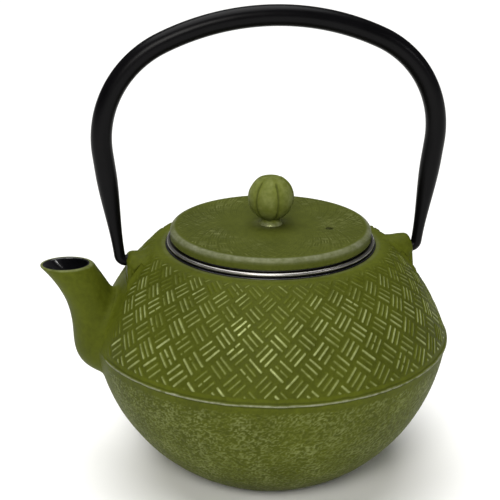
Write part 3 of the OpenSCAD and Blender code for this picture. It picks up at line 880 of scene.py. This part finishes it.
def wires(paths, sideways, outward, closed):
    """Round wires along paths (wire, step, xyz), with two unit vectors across each step."""
    count, steps = paths.shape[:2]
    a = np.arange(WIRE_SIDES) * 2 * np.pi / WIRE_SIDES
    ring = np.cos(a)[:, None] * sideways[..., None, :] + np.sin(a)[:, None] * outward[..., None, :]
    points = (paths[..., None, :] + WIRE_R * ring).reshape(-1, 3)
    index = np.arange(count * steps * WIRE_SIDES).reshape(count, steps, WIRE_SIDES)
    low = index if closed else index[:, :-1]
    high = np.roll(index, -1, axis=1) if closed else index[:, 1:]
    quads = np.stack([low, np.roll(low, -1, 2), np.roll(high, -1, 2), high], -1).reshape(-1, 4)
    if closed:
        return points, quads, np.empty((0, 3), int)
    ends = np.concatenate([paths[:, 0], paths[:, -1]])
    first, last = index[:, 0], index[:, -1]
    pole = np.repeat(len(points) + np.arange(2 * count), WIRE_SIDES).reshape(-1, WIRE_SIDES)
    after = np.concatenate([np.roll(first, -1, 1), last])
    before = np.concatenate([first, np.roll(last, -1, 1)])
    return np.concatenate([points, ends]), quads, np.stack([pole, after, before], -1).reshape(-1, 3)


def joined(name, parts):
    """One object from several (points, quads, tris) sets."""
    points, quads, tris = zip(*parts)
    starts = np.cumsum([0] + [len(p) for p in points])
    quads, tris = [np.concatenate([f + s for f, s in zip(faces, starts)]) for faces in (quads, tris)]
    return solid_from(name, np.concatenate(points), quads, tris, 80)


def make_basket_wall():
    """The infuser's cone of plain-woven wire."""
    low, high = foot_of("infuser_wall") + WIRE_R, top_of("infuser_wall") - WIRE_R
    foot_r, top_r = BASKET_FOOT_R - 2 * WIRE_R, reach_of("infuser_wall") - 2 * WIRE_R
    rows = int((high - low) / WIRE_PITCH)
    around = 2 * round(math.pi * top_r / WIRE_PITCH)
    lean = math.atan2(top_r - foot_r, high - low)

    def at(turn, share, off):
        r = foot_r + (top_r - foot_r) * share + off * math.cos(lean)
        z = low + (high - low) * share - off * math.sin(lean)
        return np.stack([r * np.cos(turn), r * np.sin(turn), z + 0 * turn], -1)

    # each upright wire goes behind and before the hoops in turn, and each hoop the other way about
    wire, place = np.meshgrid(np.arange(around), np.arange(2 * rows + 1) / 2, indexing="ij")
    turn = wire * 2 * np.pi / around
    tangent = np.stack([-np.sin(turn), np.cos(turn), 0 * turn], -1)
    path = at(turn, place / rows, WAVE * np.cos(np.pi * (place + wire)))
    uprights = wires(path, tangent, spoke(turn), False)
    spin, hoop = np.meshgrid(np.arange(2 * around) / 2, np.arange(1, rows), indexing="xy")
    turn = spin * 2 * np.pi / around
    path = at(turn, hoop / rows, -WAVE * np.cos(np.pi * (spin + hoop)))
    hoops = wires(path, spoke(turn), np.zeros_like(path) + np.array([0, 0, 1.0]), True)
    return joined("basket_wall", [uprights, hoops])


def make_basket_floor():
    """The infuser's flat bottom of plain-woven wire, two sets of straight wires."""
    middle = (foot_of("infuser_floor") + top_of("infuser_floor")) / 2
    radius = reach_of("infuser_floor") - 0.3
    half = int(radius / WIRE_PITCH)
    parts = []
    for lane in range(-half, half + 1):
        reach = math.sqrt(radius**2 - (lane * WIRE_PITCH) ** 2)
        steps = max(int(4 * reach / WIRE_PITCH), 4)
        s = np.linspace(-reach, reach, steps)
        for turned_over in (0, 1):
            off = WAVE * np.cos(np.pi * (s / WIRE_PITCH + lane + turned_over))
            path = np.stack([s, np.full_like(s, lane * WIRE_PITCH), middle + off], -1)
            side = np.zeros_like(path) + np.array([0, 1.0, 0])
            if turned_over:
                path, side = path[:, (1, 0, 2)], side[:, (1, 0, 2)]
            up = np.zeros_like(path) + np.array([0, 0, 1.0 - 2 * turned_over])
            parts.append(wires(path[None], side[None], up[None], False))
    return joined("basket_floor", parts)


# ---- materials
NOISE = "ShaderNodeTexNoise"
MATH = "ShaderNodeMath"
MIX = "ShaderNodeMixRGB"
RANGE = "ShaderNodeMapRange"
BUMP = "ShaderNodeBump"


def linear(colour):
    """An sRGB hex colour as linear RGBA."""
    parts = [int(colour[k : k + 2], 16) / 255 for k in (1, 3, 5)]
    return (*[c / 12.92 if c <= 0.04045 else ((c + 0.055) / 1.055) ** 2.4 for c in parts], 1.0)


def feed(tree, node, inputs):
    """Sets a node's inputs, each to a constant, to a node's output, or to a node's first output."""
    for key, value in inputs.items():
        if isinstance(value, bpy.types.Node):
            value = value.outputs[0]
        if isinstance(value, bpy.types.NodeSocket):
            tree.links.new(value, node.inputs[key])
        else:
            node.inputs[key].default_value = value


def add(tree, kind, inputs=None, **settings):
    """Adds a node with its settings and its inputs."""
    made = tree.nodes.new(kind)
    for key, value in settings.items():
        setattr(made, key, value)
    feed(tree, made, inputs or {})
    return made


def blank(name):
    """An empty node material with its tree, its shader and its object coordinates."""
    material = bpy.data.materials.new(name)
    material.use_nodes = True
    tree = material.node_tree
    tree.nodes.clear()
    shader = add(tree, "ShaderNodeBsdfPrincipled")
    out = add(tree, "ShaderNodeOutputMaterial", {"Surface": shader})
    out.is_active_output = True
    where = add(tree, "ShaderNodeTexCoord").outputs["Object"]
    return material, tree, shader, where


def per_mm(size):
    """Noise scale that gives lumps of that size in millimetres."""
    return 1000 / size


def painted_iron(name, shade, light, rubbed):
    """Moss green baked paint over sand-cast iron, rubbed back by hand on what stands proud: satin green
    with painted shade in the hollows, paler and shinier on the high strokes, grey iron where it is rubbed
    through."""
    material, tree, shader, where = blank(name)
    marks = [add(tree, "ShaderNodeAttribute", attribute_name=mark) for mark in ("rub", "bare", "deep")]
    rub, bare, deep = [mark.outputs["Fac"] for mark in marks]
    # cloudy paint, with painted shade that darkens the hollows and creases
    broad = add(tree, NOISE, {"Vector": where, "Scale": per_mm(22), "Detail": 3.0})
    small = add(tree, NOISE, {"Vector": where, "Scale": per_mm(2.2), "Detail": 4.0, "Roughness": 0.6})
    mottle = add(tree, MATH, {0: broad, 1: small}, operation="ADD")
    blend = add(tree, RANGE, {"Value": mottle, "From Min": 0.7, "From Max": 1.3})
    paint = add(tree, MIX, {"Fac": blend, "Color1": linear(shade), "Color2": linear(light)})
    # painted shade: the marked hollows, grooves and creases are mixed towards a darker green
    shade_share = add(tree, MATH, {0: deep, 1: 0.55}, operation="MULTIPLY")
    shaded_paint = add(tree, MIX, {"Fac": shade_share, "Color1": paint, "Color2": linear("#262a0a")})
    # rubbed paint, then bare iron, both broken up by the sand-cast grain under them
    speck = add(tree, RANGE, {"Value": small, "From Min": 0.3, "From Max": 0.62, "To Min": 0.45})
    scuffed = add(tree, MATH, {0: rub, 1: speck}, operation="MULTIPLY", use_clamp=True)
    high = add(tree, MIX, {"Fac": scuffed, "Color1": shaded_paint, "Color2": linear(rubbed)})
    through = add(tree, MATH, {0: bare, 1: speck}, operation="MULTIPLY", use_clamp=True)
    iron = add(tree, MIX, {"Fac": through, "Color1": high, "Color2": linear("#8d8f7c")})
    # handling polishes what it rubs
    shine = add(tree, MATH, {0: scuffed, 1: through}, operation="ADD", use_clamp=True)
    matt = {"Value": small, "From Min": 0.3, "From Max": 0.7, "To Min": 0.52, "To Max": 0.66}
    rough = add(tree, MATH, {0: shine, 1: -0.3, 2: add(tree, RANGE, matt)}, operation="MULTIPLY_ADD")
    metal = add(tree, MATH, {0: shine, 1: 0.4}, operation="MULTIPLY")
    # the mould sand's grit, felt through the paint
    grain = add(tree, NOISE, {"Vector": where, "Scale": per_mm(0.45), "Detail": 2.0})
    height = add(tree, MATH, {0: small, 1: grain}, operation="ADD")
    bump = add(tree, BUMP, {"Height": height, "Strength": 0.35, "Distance": 0.00012})
    feed(tree, shader, {"Base Color": iron, "Roughness": rough, "Metallic": metal, "Normal": bump})
    feed(tree, shader, {"IOR": 1.48, "Specular IOR Level": 0.08})
    return material


def black_enamel():
    """Vitreous enamel fired on iron: glossy jet-black glass with a faint orange peel."""
    material, tree, shader, where = blank("black_vitreous_enamel")
    peel = add(tree, NOISE, {"Vector": where, "Scale": per_mm(2.5), "Detail": 2.0})
    specks = add(tree, NOISE, {"Vector": where, "Scale": per_mm(0.7), "Detail": 2.0})
    tone = add(tree, MIX, {"Fac": specks, "Color1": linear("#08080a"), "Color2": linear("#17171a")})
    rough = add(tree, RANGE, {"Value": peel, "To Min": 0.1, "To Max": 0.22})
    bump = add(tree, BUMP, {"Height": peel, "Strength": 0.2, "Distance": 0.0001})
    feed(tree, shader, {"Base Color": tone, "Roughness": rough, "Normal": bump, "IOR": 1.54})
    return material


def black_tube_paint():
    """Baked satin black paint on bent steel tube: a soft highlight along it, with a very fine grain."""
    material, tree, shader, where = blank("black_baked_paint")
    cloud = add(tree, NOISE, {"Vector": where, "Scale": per_mm(9), "Detail": 3.0})
    grain = add(tree, NOISE, {"Vector": where, "Scale": per_mm(0.5), "Detail": 3.0})
    tone = add(tree, MIX, {"Fac": cloud, "Color1": linear("#030304"), "Color2": linear("#09080a")})
    rough = add(tree, RANGE, {"Value": cloud, "To Min": 0.26, "To Max": 0.36})
    bump = add(tree, BUMP, {"Height": grain, "Strength": 0.25, "Distance": 0.00008})
    feed(tree, shader, {"Base Color": tone, "Roughness": rough, "Normal": bump, "Specular IOR Level": 0.08})
    return material


def turned_steel():
    """Pressed and spun stainless steel: fine rings round the axis that stretch its highlights."""
    material, tree, shader, where = blank("spun_stainless_steel")
    parts = add(tree, "ShaderNodeSeparateXYZ", {0: where}).outputs
    across = add(tree, "ShaderNodeCombineXYZ", {0: parts[0], 1: parts[1]})
    radius = add(tree, "ShaderNodeVectorMath", {0: across}, operation="LENGTH").outputs["Value"]
    profile = add(tree, "ShaderNodeCombineXYZ", {0: radius, 1: parts[2]})
    # real spinning marks are about 0.05 mm apart; these are drawn coarser so that they show
    rings = add(tree, NOISE, {"Vector": profile, "Scale": per_mm(0.25), "Detail": 3.0})
    cloud = add(tree, NOISE, {"Vector": where, "Scale": per_mm(6), "Detail": 3.0})
    tone = add(tree, MIX, {"Fac": cloud, "Color1": linear("#8e8b88"), "Color2": linear("#b8b5b1")})
    rough = add(tree, RANGE, {"Value": rings, "To Min": 0.2, "To Max": 0.4})
    bump = add(tree, BUMP, {"Height": rings, "Strength": 0.15, "Distance": 0.00005})
    feed(tree, shader, {"Base Color": tone, "Roughness": rough, "Normal": bump, "Metallic": 1.0})
    return material


def drawn_wire():
    """Drawn stainless wire: bright metal, slightly uneven from wire to wire."""
    material, tree, shader, where = blank("drawn_stainless_wire")
    cloud = add(tree, NOISE, {"Vector": where, "Scale": per_mm(4), "Detail": 4.0})
    tone = add(tree, MIX, {"Fac": cloud, "Color1": linear("#a19e9a"), "Color2": linear("#c9c6c2")})
    rough = add(tree, RANGE, {"Value": cloud, "To Min": 0.25, "To Max": 0.42})
    feed(tree, shader, {"Base Color": tone, "Roughness": rough, "Metallic": 1.0})
    return material


def white_studio_board():
    """Matt white studio board, faintly uneven."""
    material, tree, shader, where = blank("white_studio_board")
    cloud = add(tree, NOISE, {"Vector": where, "Scale": 3.0, "Detail": 2.0})
    tone = add(tree, MIX, {"Fac": cloud, "Color1": linear("#f4f4f2"), "Color2": linear("#fafaf9")})
    feed(tree, shader, {"Base Color": tone, "Roughness": 0.9})
    return material


def wear(piece, material):
    """Gives a piece one material all over."""
    piece.data.materials.clear()
    piece.data.materials.append(material)


# ---- the pieces
BODY_PAINT = painted_iron("moss_green_paint_on_iron", "#3f4509", "#4f5613", "#a2aa74")
LID_PAINT = painted_iron("moss_green_paint_on_lid", "#3f4512", "#4e541d", "#8e9262")
KNOB_PAINT = painted_iron("moss_green_paint_on_knob", "#4f561a", "#666d2f", "#9aa070")
ENAMEL_GLASS = black_enamel()
STEEL = turned_steel()
WIRE = drawn_wire()
TUBE_PAINT = black_tube_paint()

MADE = (
    (make_casting, "pot_body", "pot", "painted_iron", BODY_PAINT),
    (make_lining, "enamel_lining", "pot", "black_enamel", ENAMEL_GLASS),
    (make_lid, "lid", "lid", "lid_iron", LID_PAINT),
    (make_knob, "knob", "lid", "knob_iron", KNOB_PAINT),
    (make_basket_wall, "infuser_wall", "infuser", "steel_mesh", WIRE),
    (make_basket_floor, "infuser_floor", "infuser", "steel_mesh", WIRE),
    (make_bail, "handle_bail", "bail", "black_steel", TUBE_PAINT),
)
for make, node, body, slot, material in MADE:
    piece = make()
    wear(piece, material)
    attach(piece, body)
    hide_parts(node)

wear(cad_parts["lid_enamel"], ENAMEL_GLASS)
for node in ("knob_screw", "knob_washer", "infuser_rim", "infuser_base_ring"):
    wear(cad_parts[node], STEEL)


# ---- stage, light and camera, in metres and degrees
FLOOR_HALF = 6.0
LIT_POINT = (0, 0, 0.08)
CAMERA_AIM = Vector((-0.0091, 0.0, 0.1009))
CAMERA_AZIMUTH = -9.281
CAMERA_ELEVATION = 20.137
CAMERA_ROLL = 0.358
CAMERA_DISTANCE = 0.589
CAMERA_LENS = 96.47
CAMERA_SENSOR = 36.0


def add_light(name, kind, colour="#ffffff", **settings):
    """A light with its settings, linked to the scene."""
    light = bpy.data.lights.new(name, kind)
    light.color = linear(colour)[:3]
    for key, value in settings.items():
        setattr(light, key, value)
    holder = bpy.data.objects.new(name, light)
    bpy.context.scene.collection.objects.link(holder)
    return holder


def aim_at(holder, place, target):
    """Puts a light at a place and turns it to a target."""
    holder.location = place
    holder.rotation_euler = (Vector(target) - Vector(place)).to_track_quat("-Z", "Y").to_euler()


def make_stage():
    """A white board to stand on, a soft key light, a wide overhead silk and a white surround."""
    h = FLOOR_HALF / MM
    corners = np.array([(-h, -h, 0), (h, -h, 0), (h, h, 0), (-h, h, 0)])
    floor = solid_from("studio_floor", corners, np.array([[0, 1, 2, 3]]), np.empty((0, 3), int))
    wear(floor, white_studio_board())
    key = add_light("key", "AREA", "#fffdf8", shape="RECTANGLE", size=0.65, size_y=0.5, energy=14)
    aim_at(key, (-0.38, -1.18, 0.92), LIT_POINT)
    silk = add_light("overhead_silk", "SUN", energy=3.35, angle=math.radians(60))
    silk.rotation_euler = (math.radians(-10), math.radians(-4), 0)
    glint = add_light("glint", "AREA", shape="RECTANGLE", size=0.15, size_y=0.15, energy=1.3)
    aim_at(glint, (1.05, -0.74, 0.6), LIT_POINT)
    world = bpy.data.worlds.new("studio")
    world.use_nodes = True
    tree = world.node_tree
    tree.nodes.clear()
    seen = add(tree, "ShaderNodeLightPath").outputs["Is Camera Ray"]
    strength = add(tree, RANGE, {"Value": seen, "To Min": 0.1, "To Max": 1.0})
    sky = add(tree, "ShaderNodeBackground", {"Color": linear("#ffffff"), "Strength": strength})
    add(tree, "ShaderNodeOutputWorld", {"Surface": sky})
    bpy.context.scene.world = world
    bpy.context.scene.view_settings.view_transform = "Standard"


def make_camera():
    """A long lens, a little above the pot and to the left of its front."""
    azimuth, elevation, roll = map(math.radians, (CAMERA_AZIMUTH, CAMERA_ELEVATION, CAMERA_ROLL))
    level = math.cos(elevation)
    back = Vector((math.sin(azimuth) * level, -math.cos(azimuth) * level, math.sin(elevation)))
    camera = bpy.data.objects.new("camera", bpy.data.cameras.new("camera"))
    camera.data.lens = CAMERA_LENS
    camera.data.sensor_width = CAMERA_SENSOR
    camera.data.clip_start = 0.01
    bpy.context.scene.collection.objects.link(camera)
    turn = (-back).to_track_quat("-Z", "Y").to_matrix() @ Matrix.Rotation(roll, 3, "Z")
    camera.matrix_world = Matrix.Translation(CAMERA_AIM + back * CAMERA_DISTANCE) @ turn.to_4x4()
    bpy.context.scene.camera = camera


make_stage()
make_camera()
